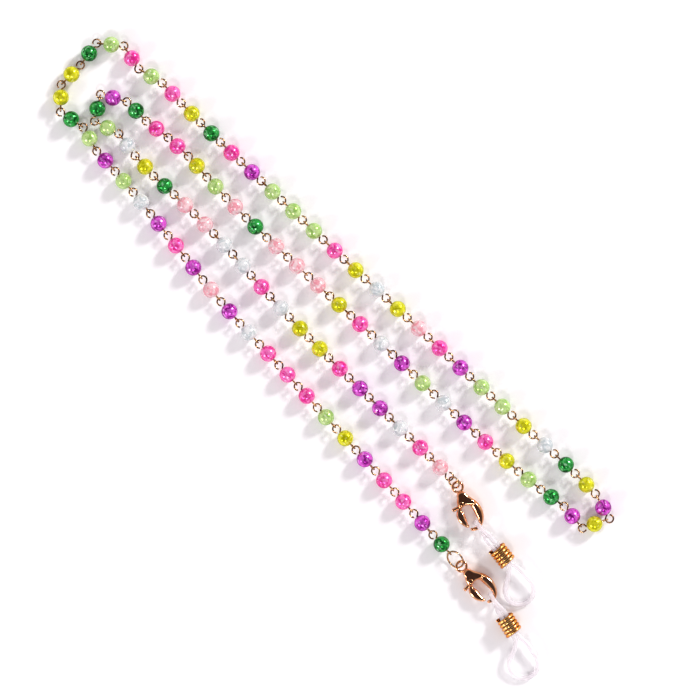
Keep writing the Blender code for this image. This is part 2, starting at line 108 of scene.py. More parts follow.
# the ring's wire starts at one angle and runs round by the other, in degrees
RING_CUT_AT = 104
RING_WIRE_TURN = 353
RING_STEPS = 60
RING_SIDES = 14
RING_HEADING = {"a": -3.5, "b": -8.0}
CLASP_HEADING = {"a": -2.0, "b": -21.0}
BAR_PLACE = {"a": (11.27, 0.25), "b": (11.14, 0.92)}
BAR_LEVEL = 2.10
GRIP_HEADING = {"a": -13.0, "b": -6.5}
GRIP_BEND = {"a": -25.0, "b": -24.0}
PIVOT = (4.30, -0.90)
PIVOT_BORE_RADIUS = 0.44
# the slot that the gate turns in, along X, Y and Z
SLOT = ((3.20, 6.50), (-3.00, 0.25), (1.00, 2.40))
BLOCK_HEIGHT = 3.30
CORD_RADIUS = 0.60
CORD_SIDES = 18
BAR_HALF_HEIGHT = 0.62
BAR_GAP = 0.14
WRAP_RADIUS = BAR_HALF_HEIGHT + BAR_GAP + CORD_RADIUS
CORD_SPREAD = 0.65
LEVEL_OFF_X = 0.75
STRAIGHT_FROM_X = 4.0
STRAIGHT_TO_X = {"a": 11.8, "b": 12.6}
NOOSE_LENGTH = 10.2
NOOSE_RADIUS = 3.60
NOOSE_DROOP = 1.30
BEND_STRETCH = 3.0
WRAP_STEPS = 6
EASE_STEPS = 8
FLARE_STEPS = 6
ARC_STEPS = 12
COIL_CENTRE_X = {"a": 7.60, "b": 9.20}
COIL_TURNS = 5
COIL_TURN_PITCH = 0.92
COIL_RADIUS = 1.87
COIL_WIRE_RADIUS = 0.44
COIL_RISE = 0.25
COIL_FIRST_TURN = 180
COIL_STEPS = 30
COIL_SIDES = 14

# A tube's open end, as shares of its radius: the length of the chamfer and the radius at the tip.
END_CHAMFER = 0.28
END_RADIUS = 0.72
# a direction that no tube starts along
ASIDE = (0.13, 0.21, 0.97)


# ---------------------------------------------------------------- shapes


def heading_vector(degrees):
    return Vector((math.cos(math.radians(degrees)), math.sin(math.radians(degrees)), 0))


def frame_matrix(point, degrees):
    return Matrix.Translation(point) @ Matrix.Rotation(math.radians(degrees), 4, "Z")


def between(keys, link):
    """A link's value from (link, value) keys, between which it changes evenly."""
    later = next(i for i, (key, _) in enumerate(keys) if key >= link)
    key, value = keys[later]
    if key != link:
        key_before, value_before = keys[later - 1]
        value = value_before + (link - key_before) / (key - key_before) * (value - value_before)
    return value


def lay_chain():
    """The joints between the links, and each link's heading in degrees."""
    joints, headings = [Vector((*CHAIN_START, LEVEL))], []
    for link in range(1, LINKS + 1):
        headings.append(between(HEADINGS, link))
        joints.append(joints[-1] + heading_vector(headings[-1]) * (PITCH - between(SLACK, link)))
    return joints, headings


def smooth_path(points, per_span, closed=False):
    """A Catmull-Rom curve through the points, which may have any number of coordinates."""
    given = np.array([tuple(p) for p in points], float)
    count = len(given)
    curve = []
    for i in range(count if closed else count - 1):
        if closed:
            a, b, c, d = (given[(i + k) % count] for k in (-1, 0, 1, 2))
        else:
            a, b, c, d = (given[min(max(i + k, 0), count - 1)] for k in (-1, 0, 1, 2))
        for k in range(per_span):
            t = k / per_span
            curve.append(
                0.5 * (2 * b + (c - a) * t + (2 * a - 5 * b + 4 * c - d) * t**2
                       + (3 * b - a - 3 * c + d) * t**3)
            )  # fmt: skip
    if not closed:
        curve.append(given[-1])
    return np.array(curve)


def ring_faces(rings, corners, closed):
    """Quads between rings of the same number of corners, with both ends capped unless it is closed."""
    faces = []
    for i in range(rings if closed else rings - 1):
        a, b = i * corners, (i + 1) % rings * corners
        for k in range(corners):
            after = (k + 1) % corners
            faces.append((a + k, a + after, b + after, b + k))
    if not closed:
        faces.append(tuple(reversed(range(corners))))
        faces.append(tuple(range((rings - 1) * corners, rings * corners)))
    return faces


def tube(path, radius, sides, closed=False):
    """A round tube along a path, as vertices and faces. Open ends have a small chamfer."""
    path = np.array(path, float)
    radii = np.full(len(path), float(radius))
    if closed:
        tangents = np.roll(path, -1, 0) - np.roll(path, 1, 0)
    else:
        tangents = np.gradient(path, axis=0)
        ends = tangents[[0, -1]] / np.linalg.norm(tangents[[0, -1]], axis=1)[:, None]
        chamfer = END_CHAMFER * radius
        path = np.vstack([path[0] - ends[0] * chamfer, path, path[-1] + ends[1] * chamfer])
        tangents = np.vstack([tangents[0], tangents, tangents[-1]])
        radii = np.concatenate([[END_RADIUS * radius], radii, [END_RADIUS * radius]])
    tangents /= np.linalg.norm(tangents, axis=1)[:, None]
    across = np.cross(tangents[0], ASIDE)
    sides_of = []
    for tangent in tangents:
        across = across - tangent * across.dot(tangent)
        across /= np.linalg.norm(across)
        sides_of.append(across)
    twist = 0.0
    if closed:
        back = across - tangents[0] * across.dot(tangents[0])
        back /= np.linalg.norm(back)
        twist = math.atan2(np.cross(back, sides_of[0]).dot(tangents[0]), back.dot(sides_of[0]))
    vertices = []
    for i, (point, tangent, across) in enumerate(zip(path, tangents, sides_of)):
        above = np.cross(tangent, across)
        for k in range(sides):
            turn = 2 * math.pi * k / sides + twist * i / len(path)
            vertices.append(point + radii[i] * (across * math.cos(turn) + above * math.sin(turn)))
    return vertices, ring_faces(len(path), sides, closed)


def turned(profile, sides, closed):
    """A solid turned round X from (x, radius) pairs."""
    vertices = []
    for x, radius in profile:
        for k in range(sides):
            turn = 2 * math.pi * k / sides
            vertices.append((x, radius * math.cos(turn), radius * math.sin(turn)))
    return vertices, ring_faces(len(profile), sides, closed)


def mesh_of(name, shells, place=None):
    """A mesh of closed shells given in millimetres, facing outwards, still in millimetres."""
    mesh = bpy.data.meshes.new(name)
    vertices, faces = [], []
    for shell_vertices, shell_faces in shells:
        start = len(vertices)
        vertices.extend(tuple(v) for v in shell_vertices)
        faces.extend(tuple(start + i for i in face) for face in shell_faces)
    mesh.from_pydata(vertices, [], faces)
    if place is not None:
        mesh.transform(place)
    whole = bmesh.new()
    whole.from_mesh(mesh)
    bmesh.ops.recalc_face_normals(whole, faces=whole.faces)
    whole.to_mesh(mesh)
    whole.free()
    return mesh


def piece(name, mesh, world, look, body, sharp=40):
    """A piece whose mesh is in millimetres in its own frame; it rides on a CAD body."""
    mesh.transform(Matrix.Scale(MM, 4))
    mesh.shade_smooth()
    mesh.set_sharp_from_angle(angle=math.radians(sharp))
    mesh.materials.clear()
    mesh.materials.append(look)
    made = bpy.data.objects.new(name, mesh)
    bpy.context.scene.collection.objects.link(made)
    made.matrix_world = Matrix.Translation(world.translation * MM) @ world.to_3x3().to_4x4()
    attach(made, body)
    return made


def applied(mesh, add_modifiers, name):
    """The mesh with modifiers applied."""
    holder = bpy.data.objects.new(name, mesh)
    bpy.context.scene.collection.objects.link(holder)
    add_modifiers(holder)
    graph = bpy.context.evaluated_depsgraph_get()
    made = bpy.data.meshes.new_from_object(holder.evaluated_get(graph))
    made.name = name
    bpy.data.objects.remove(holder, do_unlink=True)
    return made


def cast(name, shells, voxel, smoothing):
    """Overlapping shells melted into one cast shape with soft edges and fillets."""

    def add(holder):
        melt = holder.modifiers.new("melt", "REMESH")
        melt.mode = "VOXEL"
        melt.voxel_size = voxel
        soften = holder.modifiers.new("soften", "SMOOTH")
        soften.factor = 0.5
        soften.iterations = smoothing

    return applied(mesh_of(name, shells), add, name)


def cut(mesh, cutters, name):
    """The mesh less some closed shells."""
    tools = []
    for i, shell in enumerate(cutters):
        tool = bpy.data.objects.new(f"{name}_cut_{i}", mesh_of(f"{name}_cut_{i}", [shell]))
        bpy.context.scene.collection.objects.link(tool)
        tools.append(tool)

    def add(holder):
        for tool in tools:
            step = holder.modifiers.new(tool.name, "BOOLEAN")
            step.operation = "DIFFERENCE"
            step.solver = "EXACT"
            step.object = tool

    made = applied(mesh, add, name)
    for tool in tools:
        bpy.data.objects.remove(tool, do_unlink=True)
    return made


# ---------------------------------------------------------------- materials


# A colour mix node's sockets: its factor, its two colours, and its result.
MIX_FACTOR = 0
MIX_FIRST = 6
MIX_SECOND = 7
MIX_RESULT = 2

# In metres: how far a texture is moved at most from piece to piece, and from where to where the
# coat of a pearl thins and the painted shade between a coil's turns fades, measured from the axis.
PIECE_SHIFT = (0.31, 0.17, 0.23)
PEARL_RIM = (0.00038, 0.00050)
COIL_PAINTED_SHADE = (0.00206, 0.00222)
# how bright the painted shade between a coil's turns is, as a share of the metal's deep tone
PAINTED_SHADE_SHARE = 0.85


class Look:
    """A material built node by node round one Principled shader."""

    def __init__(self, name):
        self.material = bpy.data.materials.new(name)
        self.material.use_nodes = True
        self.tree = self.material.node_tree
        self.shader = self.tree.nodes["Principled BSDF"]

    def node(self, kind, values=None, **settings):
        made = self.tree.nodes.new(kind)
        for key, value in settings.items():
            setattr(made, key, value)
        for key, value in (values or {}).items():
            made.inputs[key].default_value = value
        return made

    def link(self, source, target):
        self.tree.links.new(source, target)

    def set(self, **values):
        for key, value in values.items():
            self.shader.inputs[key.replace("_", " ")].default_value = value

    def place(self, scale=(1, 1, 1)):
        """The piece's own coordinates, moved by a different amount on each piece."""
        coordinates = self.node("ShaderNodeTexCoord")
        chance = self.node("ShaderNodeObjectInfo")
        shift = self.node("ShaderNodeVectorMath", operation="SCALE")
        shift.inputs[0].default_value = PIECE_SHIFT
        self.link(chance.outputs["Random"], shift.inputs["Scale"])
        mapping = self.node("ShaderNodeMapping", {"Scale": scale})
        self.link(coordinates.outputs["Object"], mapping.inputs["Vector"])
        self.link(shift.outputs["Vector"], mapping.inputs["Location"])
        return mapping.outputs["Vector"]

    def noise(self, where, scale, detail=3.0, roughness=0.55, distortion=0.0):
        made = self.node(
            "ShaderNodeTexNoise",
            {"Scale": scale, "Detail": detail, "Roughness": roughness, "Distortion": distortion},
        )
        self.link(where, made.inputs["Vector"])
        return made.outputs["Fac"]

    def ranged(self, value, low, high, to_low, to_high):
        made = self.node(
            "ShaderNodeMapRange",
            {"From Min": low, "From Max": high, "To Min": to_low, "To Max": to_high},
        )
        self.link(value, made.inputs["Value"])
        return made.outputs["Result"]

    def mixed(self, factor, first, second):
        made = self.node("ShaderNodeMix", data_type="RGBA")
        for value, socket in ((factor, MIX_FACTOR), (first, MIX_FIRST), (second, MIX_SECOND)):
            if isinstance(value, bpy.types.NodeSocket):
                self.link(value, made.inputs[socket])
            else:
                made.inputs[socket].default_value = value
        return made.outputs[MIX_RESULT]

    def reach(self):
        """The distance from the piece's own X axis, in metres."""
        coordinates = self.node("ShaderNodeTexCoord")
        across = self.node("ShaderNodeVectorMath", operation="MULTIPLY")
        across.inputs[1].default_value = (0, 1, 1)
        self.link(coordinates.outputs["Object"], across.inputs[0])
        length = self.node("ShaderNodeVectorMath", operation="LENGTH")
        self.link(across.outputs["Vector"], length.inputs[0])
        return length.outputs["Value"]

    def bump(self, height, strength, distance, before=None):
        made = self.node("ShaderNodeBump", {"Strength": strength, "Distance": distance})
        self.link(height, made.inputs["Height"])
        if before is not None:
            self.link(before, made.inputs["Normal"])
        return made.outputs["Normal"]


def colour(red, green, blue):
    """A linear colour from its 0 to 255 screen values."""
    linear = []
    for value in (red, green, blue):
        value /= 255
        linear.append(value / 12.92 if value <= 0.04045 else ((value + 0.055) / 1.055) ** 2.4)
    return (*linear, 1.0)


# Each pearl colour: its slot, body colour, deeper swirl, lighter nacre, metal share, clearness.
PEARL_LOOKS = {
    "g": ("pearl_green", (52, 168, 74), (6, 78, 24), (176, 244, 188), 0.50, 0.0),
    "p": ("pearl_purple", (228, 94, 220), (136, 12, 128), (251, 188, 249), 0.48, 0.0),
    "k": ("pearl_pink", (255, 118, 196), (228, 46, 142), (255, 200, 232), 0.36, 0.0),
    "y": ("pearl_lime", (230, 228, 44), (180, 180, 4), (252, 250, 156), 0.40, 0.0),
    "l": ("pearl_mint", (204, 234, 152), (156, 200, 100), (240, 252, 214), 0.25, 0.15),
    "w": ("pearl_white", (248, 249, 249), (204, 214, 216), (255, 255, 255), 0.05, 0.25),
    "r": ("pearl_rose", (255, 224, 228), (250, 164, 178), (255, 246, 247), 0.06, 0.25),
}


def pearl_look(letter):
    body, deep, light, metal, clear = PEARL_LOOKS[letter][1:]
    look = Look(f"nacre_{letter}")
    where = look.place()
    swirl = look.noise(where, 720, 3.0, 0.5, 1.0)
    streak = look.noise(look.place((1.0, 1.8, 1.8)), 900, 3.0, 0.55, 0.4)
    paint = look.mixed(look.ranged(swirl, 0.40, 0.56, 0, 1), colour(*deep), colour(*body))
    paint = look.mixed(look.ranged(streak, 0.56, 0.70, 0, 0.85), paint, colour(*light))
    # the coat thins to the bead's white core at the rim of its hole
    rim = look.ranged(look.reach(), *PEARL_RIM, 1, 0)
    core = tuple(0.5 * a + 0.5 * b for a, b in zip(colour(236, 228, 214), colour(*light)))
    look.link(look.mixed(rim, paint, core), look.shader.inputs["Base Color"])
    grain = look.noise(where, 5200, 2.0)
    look.link(look.ranged(grain, 0.3, 0.7, 0.15, 0.26), look.shader.inputs["Roughness"])
    orange_peel = look.noise(where, 1100, 1.0)
    fine = look.bump(grain, 0.10, 0.00001)
    look.link(look.bump(orange_peel, 0.50, 0.00006, fine), look.shader.inputs["Normal"])
    look.set(Metallic=metal, Coat_Weight=0.12, Coat_Roughness=0.08, Coat_IOR=1.4, IOR=1.42)
    look.set(Specular_Tint=colour(*deep))
    look.set(Transmission_Weight=clear)
    return look.material


def metal_look(name, body, deep, pale, roughness, scratch_scale, wave, shade_reach=None):
    """Polished plated metal: uneven tone, faint casting waves, fine scratches, worn and dulled spots.

    An optional pair of distances from the piece's axis paints shade: what lies nearer to the axis takes a
    darkened deep tone, as the shade that falls between a coil's turns.
    """
    look = Look(name)
    where = look.place()
    tone = look.noise(where, 380, 4.0, 0.6, 0.6)
    spots = look.noise(where, 1400, 3.0, 0.65)
    paint = look.mixed(look.ranged(tone, 0.35, 0.66, 0, 1), colour(*body), colour(*pale))
    paint = look.mixed(look.ranged(spots, 0.60, 0.78, 0, 0.55), paint, colour(*deep))
    # painted shade: nearer the axis, between the turns, the colour is darkened to stand in for shade
    if shade_reach is not None:
        painted_shade = look.ranged(look.reach(), *shade_reach, 1, 0)
        paint = look.mixed(painted_shade, paint, tuple(PAINTED_SHADE_SHARE * part for part in colour(*deep)))
    look.link(paint, look.shader.inputs["Base Color"])
    scratches = look.noise(look.place(scratch_scale), 900, 4.0, 0.7)
    low, high = roughness
    look.link(look.ranged(scratches, 0.3, 0.75, low, high), look.shader.inputs["Roughness"])
    waves = look.bump(look.noise(where, 520, 2.0, 0.4), wave, 0.00010)
    look.link(look.bump(scratches, 0.08, 0.00002, waves), look.shader.inputs["Normal"])
    look.set(Metallic=1.0, Specular_Tint=colour(*body))
    return look.material


def clear_look():
    look = Look("clear_elastic")
    where = look.place()
    cloud = look.noise(where, 260, 3.0)
    paint = look.mixed(look.ranged(cloud, 0.3, 0.7, 0, 1), colour(255, 250, 252), colour(250, 244, 249))
    look.link(paint, look.shader.inputs["Base Color"])
    dull = look.noise(where, 900, 3.0)
    look.link(look.ranged(dull, 0.35, 0.75, 0.10, 0.28), look.shader.inputs["Roughness"])
    look.link(look.bump(cloud, 0.25, 0.00005), look.shader.inputs["Normal"])
    look.set(IOR=1.30, Transmission_Weight=0.45, Alpha=0.80)
    return look.material


def floor_look():
    look = Look("paper_floor")
    coordinates = look.node("ShaderNodeTexCoord")
    fibres = look.noise(coordinates.outputs["Object"], 900, 3.0)
    look.link(
        look.mixed(fibres, (0.90, 0.895, 0.90, 1), (0.92, 0.915, 0.92, 1)),
        look.shader.inputs["Base Color"],
    )
    look.set(Roughness=0.85)
    look.shader.inputs["Specular IOR Level"].default_value = 0.1
    return look.material


# ---------------------------------------------------------------- the chain


JOINTS, LINK_HEADINGS = lay_chain()
NECK = (PITCH - LOOP_SHIFT - UPRIGHT_LOOP_RADIUS - 2 * PEARL_RADIUS - FLAT_LOOP_RADIUS) / 2
# from a pearl's centre to the centres of its wire's two loops
UPRIGHT_LOOP_X = PEARL_RADIUS + NECK + UPRIGHT_LOOP_RADIUS
FLAT_LOOP_X = PEARL_RADIUS + NECK + FLAT_LOOP_RADIUS


def link_frame(link):
    """A link's frame: its pearl's centre, with X along the link."""
    heading = LINK_HEADINGS[link - 1]
    along = heading_vector(heading)
    from_joint = LOOP_SHIFT - between(SLACK, link) + UPRIGHT_LOOP_X
    return frame_matrix(JOINTS[link - 1] + along * from_joint, heading)


def strands():
    """Each CAD strand's first and last link, by name."""
    found = {}
    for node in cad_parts:
        if node.startswith("strand_"):
            first, last = node.split("_")[1:]
            found[node] = (int(first), int(last))
    return found


STRANDS = strands()


def homes(link):
    """The CAD node and body of a link's pearl, then of its wire."""
    for node, (first, last) in STRANDS.items():
        if first <= link <= last:
            return (node, node), (node, node)
    pearl = f"pearl_{link:02d}"
    return (pearl, pearl), (f"eye_pin_{link:02d}", f"link_{link:02d}")


def pearl_mesh(link, chance):
    """A bored bead, a hair out of true, with a rounded lip at each end of its bore."""
    radius = PEARL_RADIUS * chance.uniform(*PEARL_ROUNDNESS)
    mouth = math.asin(PEARL_MOUTH_RADIUS / radius)
    side = []
    for k in range(PEARL_LATITUDES + 1):
        turn = mouth + (math.pi - 2 * mouth) * k / PEARL_LATITUDES
        side.append((-radius * math.cos(turn), radius * math.sin(turn)))
    lip = [(-radius * share, lip_radius) for share, lip_radius in PEARL_LIP]
    far_lip = [(-x, r) for x, r in reversed(lip)]
    spin = Matrix.Rotation(chance.uniform(0, 2 * math.pi), 4, "X")
    return mesh_of(f"pearl_shape_{link:02d}", [turned(lip + side + far_lip, PEARL_SIDES, True)], spin)


def loop_points(radius, chance):
    """One eye of a wire, in the XZ plane with its centre at the origin and the pearl towards +X."""
    cut_at = math.radians(chance.uniform(*LOOP_CUT))
    leave_at = math.radians(LOOP_LEAVE)
    points = []
    for k in range(LOOP_STEPS + 1):
        turn = cut_at + (leave_at - cut_at) * k / LOOP_STEPS
        points.append(np.array((math.cos(turn), 0, math.sin(turn))) * radius)
    start = points[-1]
    away = np.array((-math.sin(leave_at), 0, math.cos(leave_at)))
    end = np.array((radius + NECK + LEAD_DEPTH, 0, 0))
    into = np.array((1.0, 0, 0))
    for k in range(1, LEAD_STEPS + 1):
        t = k / LEAD_STEPS
        points.append(
            (2 * t**3 - 3 * t**2 + 1) * start + (t**3 - 2 * t**2 + t) * away * LEAVE_PULL * radius
            + (3 * t**2 - 2 * t**3) * end + (t**3 - t**2) * into * ENTER_PULL
        )  # fmt: skip
    tilt = math.radians(chance.uniform(-LOOP_TILT, LOOP_TILT))
    return [np.array(Matrix.Rotation(tilt, 3, "X") @ Vector(p)) for p in points]


def wire_mesh(link, chance):
    """A wire through the pearl, with an upright eye at its near end and a flat one at its far end."""
    near = [p - np.array((UPRIGHT_LOOP_X, 0, 0)) for p in loop_points(UPRIGHT_LOOP_RADIUS, chance)]
    far = []
    for p in reversed(loop_points(FLAT_LOOP_RADIUS, chance)):
        far.append(np.array((FLAT_LOOP_X - p[0], p[2], p[1])))
    middle = [np.array((x, 0, 0)) for x in (-WIRE_MIDDLE_X, 0, WIRE_MIDDLE_X)]
    return mesh_of(f"wire_shape_{link:02d}", [tube(near + middle + far, WIRE_RADIUS, WIRE_SIDES)])


def make_chain(looks, wire):
    for link in range(1, LINKS + 1):
        chance = random.Random(1000 + link)
        letter = PEARL_COLOURS[link - 1]
        (pearl_node, pearl_body), (wire_node, wire_body) = homes(link)
        world = link_frame(link)
        bead = piece(
            f"bead_{link:02d}", pearl_mesh(link, chance), world, looks[letter], pearl_body,
        )  # fmt: skip
        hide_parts(pearl_node)
        eye_pin = piece(
            f"wire_{link:02d}", wire_mesh(link, chance), world, wire, wire_body, 60
        )
        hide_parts(wire_node)


# ---------------------------------------------------------------- the two ends


def make_jump_ring(end, start, wire):
    """A ring of wire with its cut ends just apart."""
    tilt, radius = math.radians(RING_TILT), RING_RADIUS[end]
    points = []
    for k in range(RING_STEPS + 1):
        turn = math.radians(RING_CUT_AT + RING_WIRE_TURN * k / RING_STEPS)
        out = radius * math.sin(turn)
        x = radius + radius * math.cos(turn)
        points.append((x, out * math.cos(tilt), out * math.sin(tilt)))
    world = frame_matrix(start, RING_HEADING[end])
    mesh = mesh_of(f"ring_shape_{end}", [tube(points, RING_WIRE_RADIUS, RING_SIDES)])
    ring = piece(f"split_ring_{end}", mesh, world, wire, f"ring_{end}", 60)
    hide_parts(f"jump_ring_{end}")
    return start + heading_vector(RING_HEADING[end]) * 2 * radius


# Each row of an arm is a section: x, y, height of the centre, half width, half height.
HOOK_ARM = (
    (3.30, 0.30, 1.68, 0.70, 1.30), (3.90, 0.90, 1.70, 0.84, 1.42), (5.20, 1.85, 1.75, 0.90, 1.34),
    (6.60, 2.22, 1.85, 1.04, 1.22), (8.20, 2.28, 1.95, 1.02, 1.06), (9.70, 2.02, 2.05, 0.72, 0.86),
    (10.75, 1.45, 2.10, 0.47, 0.70), (11.25, 0.60, 2.10, 0.46, 0.62), (11.30, -0.45, 2.10, 0.42, 0.58),
    (11.05, -1.10, 2.10, 0.36, 0.52), (10.90, -1.32, 2.10, 0.20, 0.30),
)  # fmt: skip
GATE_ARM = (
    (4.30, -0.95, 1.70, 0.45, 0.56), (5.50, -1.92, 1.75, 0.55, 0.62), (6.60, -2.22, 1.85, 1.02, 0.76),
    (8.20, -2.22, 1.95, 0.96, 0.82), (9.50, -1.88, 2.05, 0.54, 0.74), (10.10, -1.52, 2.10, 0.34, 0.60),
    (10.26, -1.40, 2.10, 0.18, 0.32),
)  # fmt: skip
THUMB_TAB = (
    (4.50, -1.30, 1.70, 0.42, 0.56), (4.72, -2.10, 1.70, 0.38, 0.56), (4.84, -2.90, 1.70, 0.42, 0.54),
    (4.90, -3.45, 1.70, 0.48, 0.48), (4.92, -3.62, 1.70, 0.26, 0.28),
)  # fmt: skip
BLOCK_OUTLINE = (
    (1.55, -0.75), (2.60, -1.25), (3.80, -1.80), (5.20, -1.80), (5.00, -0.30), (5.30, 1.20),
    (5.60, 2.45), (4.40, 2.30), (3.00, 1.50), (1.55, 0.75),
)  # fmt: skip
# How far the block's outline is drawn in at each height: (height, inset).
BLOCK_LEVELS = (
    (0.02, 0.42), (0.16, 0.16), (0.42, 0.02), (1.65, -0.04), (2.88, 0.02), (3.14, 0.16), (3.28, 0.42),
)  # fmt: skip
NECK_ARM = ((1.15, 0, LEVEL, 0.55, 0.42), (1.80, 0, 1.88, 0.74, 0.90), (2.80, 0, 1.68, 0.90, 1.30))
ARM_SIDES = 24
# below 1, an arm's sections are squarish
ARM_ROUNDNESS = 0.8
# The gate's hub and the rivet, turned round the pivot: (height, radius).
HUB_PROFILE = ((1.12, 0.74), (1.20, 0.85), (2.20, 0.85), (2.28, 0.74))
RIVET_PROFILE = (
    (0.06, 0.34), (0.14, 0.40), (BLOCK_HEIGHT - 0.02, 0.40), (BLOCK_HEIGHT - 0.02, 0.60),
    (BLOCK_HEIGHT + 0.06, 0.59), (BLOCK_HEIGHT + 0.13, 0.48), (BLOCK_HEIGHT + 0.17, 0.28),
    (BLOCK_HEIGHT + 0.18, 0.06),
)  # fmt: skip
EYE_RADIUS = 1.275
EYE_HALF_WIDTH = 0.325
EYE_HALF_THICKNESS = 0.42
EYE_STEPS = 48
EYE_SIDES = 16
# The grain that a clasp's parts are melted together at, and how often they are smoothed.
BODY_VOXEL = 0.085
BODY_SMOOTHING = 7
GATE_VOXEL = 0.07
GATE_SMOOTHING = 5


def arm(rows):
    """A curved arm in the XY plane, with squarish sections."""
    rows = smooth_path(rows, 6)
    vertices = []
    for i, row in enumerate(rows):
        tangent = Vector(rows[min(i + 1, len(rows) - 1)][:3] - rows[max(i - 1, 0)][:3]).normalized()
        across = UP.cross(tangent).normalized()
        for k in range(ARM_SIDES):
            turn = 2 * math.pi * k / ARM_SIDES
            wide = math.copysign(abs(math.cos(turn)) ** ARM_ROUNDNESS, math.cos(turn)) * row[3]
            high = math.copysign(abs(math.sin(turn)) ** ARM_ROUNDNESS, math.sin(turn)) * row[4]
            vertices.append(Vector(row[:3]) + across * wide + UP * high)
    return vertices, ring_faces(len(rows), ARM_SIDES, False)


def block():
    """The clasp's block: its outline at several heights, drawn in at the top and bottom edges."""
    outline = smooth_path([(*p, 0) for p in BLOCK_OUTLINE], 4, True)
    middle = outline.mean(0)
    vertices = []
    for height, inset in BLOCK_LEVELS:
        for point in outline:
            out = point - middle
            at = middle + out * (1 - inset / np.linalg.norm(out))
            vertices.append((at[0], at[1], height))
    return vertices, ring_faces(len(BLOCK_LEVELS), len(outline), False)


def eye():
    """The clasp's eye, a flattened ring round the origin."""
    vertices = []
    for k in range(EYE_STEPS):
        turn = 2 * math.pi * k / EYE_STEPS
        for j in range(EYE_SIDES):
            lap = 2 * math.pi * j / EYE_SIDES
            reach = EYE_RADIUS + EYE_HALF_WIDTH * math.cos(lap)
            height = LEVEL + EYE_HALF_THICKNESS * math.sin(lap)
            vertices.append((reach * math.cos(turn), reach * math.sin(turn), height))
    return vertices, ring_faces(EYE_STEPS, EYE_SIDES, True)


def box(low, high):
    vertices = [(x, y, z) for x in (low[0], high[0]) for y in (low[1], high[1]) for z in (low[2], high[2])]
    faces = [(0, 1, 3, 2), (4, 6, 7, 5), (0, 4, 5, 1), (2, 3, 7, 6), (0, 2, 6, 4), (1, 5, 7, 3)]
    return vertices, faces


def upright(profile, sides):
    """A solid turned round the clasp's pivot, from (height, radius) pairs."""
    vertices, faces = turned(profile, sides, False)
    return [(y + PIVOT[0], z + PIVOT[1], x) for x, y, z in vertices], faces


def lowered(shell, x=0.0, y=0.0):
    """A shell from the clasp's frame moved down to the eye's level, and to a new origin in X and Y."""
    vertices, faces = shell
    return [(v[0] - x, v[1] - y, v[2] - LEVEL) for v in vertices], faces


def make_clasp(end, eye_place, gold):
    """The clasp's body, its gate and its rivet, as three pieces."""
    world = frame_matrix(eye_place, CLASP_HEADING[end])
    shells = [lowered(shell) for shell in (block(), arm(HOOK_ARM), eye(), arm(NECK_ARM))]
    body = cast(f"clasp_shape_{end}", shells, BODY_VOXEL, BODY_SMOOTHING)
    (x0, x1), (y0, y1), (z0, z1) = SLOT
    slot = lowered(box((x0, y0, z0), (x1, y1, z1)))
    through_block = ((-1, PIVOT_BORE_RADIUS), (BLOCK_HEIGHT + 1, PIVOT_BORE_RADIUS))
    bore = lowered(upright(through_block, 28))
    body = cut(body, [slot, bore], f"clasp_cut_{end}")
    shown = piece(f"claw_{end}", body, world, gold, f"clasp_{end}", 50)
    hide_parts(f"clasp_body_{end}")

    pivot = frame_matrix(world @ Vector((*PIVOT, 0)), CLASP_HEADING[end])
    hub = upright(HUB_PROFILE, 40)
    parts = [lowered(shell, *PIVOT) for shell in (hub, arm(GATE_ARM), arm(THUMB_TAB))]
    gate = cast(f"gate_shape_{end}", parts, GATE_VOXEL, GATE_SMOOTHING)
    through_gate = ((0, PIVOT_BORE_RADIUS), (4, PIVOT_BORE_RADIUS))
    gate = cut(gate, [lowered(upright(through_gate, 28), *PIVOT)], f"gate_cut_{end}")
    shown = piece(f"lever_{end}", gate, pivot, gold, f"gate_{end}", 50)
    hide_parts(f"clasp_gate_{end}")

    mesh = mesh_of(f"rivet_shape_{end}", [lowered(upright(RIVET_PROFILE, 32), *PIVOT)])
    shown = piece(f"rivet_{end}", mesh, pivot, gold, f"clasp_{end}")
    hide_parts(f"clasp_rivet_{end}")
    return world


def bend(point, degrees, start):
    """Turns the far part of the loop sideways, over a short stretch just past the coil."""
    beyond = point.x - start
    if beyond <= 0:
        return point
    total = math.radians(degrees)
    turned_by = total * min(beyond / BEND_STRETCH, 1)
    radius = BEND_STRETCH / total
    middle = Vector((start + radius * math.sin(turned_by), radius * (1 - math.cos(turned_by)), point.z))
    middle += Vector((math.cos(turned_by), math.sin(turned_by), 0)) * max(beyond - BEND_STRETCH, 0)
    return middle + Vector((-math.sin(turned_by), math.cos(turned_by), 0)) * point.y


